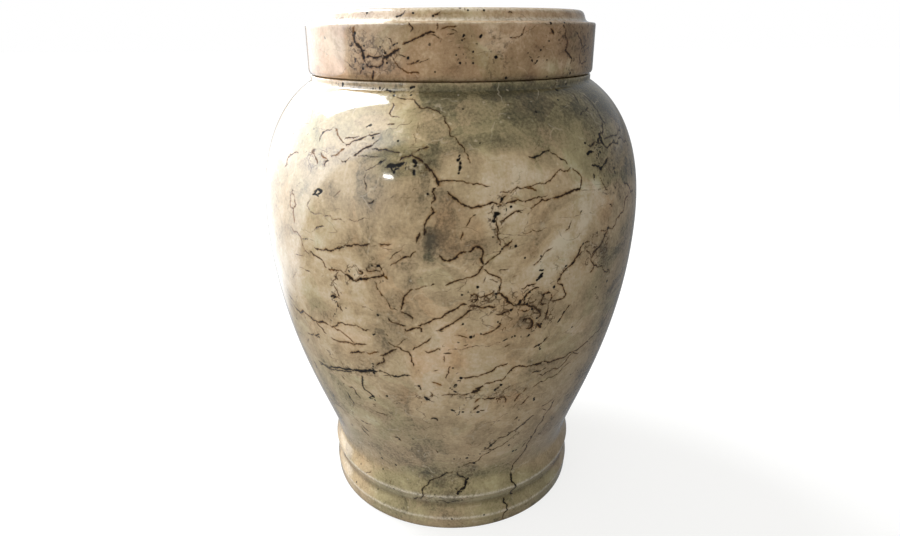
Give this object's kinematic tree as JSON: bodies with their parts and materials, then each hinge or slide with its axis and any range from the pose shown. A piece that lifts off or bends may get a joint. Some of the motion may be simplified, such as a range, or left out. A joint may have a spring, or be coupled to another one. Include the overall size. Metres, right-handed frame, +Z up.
{
  "type": "cremation urn",
  "caption": "Round turned marble urn with a full shoulder, a ringed foot and a drum-shaped lid that lifts off; hollow and empty.",
  "frame": {"origin": "middle of the flat underside, on the surface that the urn stands on", "axes": "+Z up along the axis that the urn was turned about; -Y towards the side that the picture shows"},
  "size_m": [0.199, 0.199, 0.264],
  "materials": {
    "body_marble": "polished, grey beige with brown and ochre veins",
    "lid_marble": "polished, pinkish beige with brown veins"
  },
  "bodies": {
    "root": {"urn_body": "body_marble", "lid": "lid_marble"}
  },
  "joints": []
}
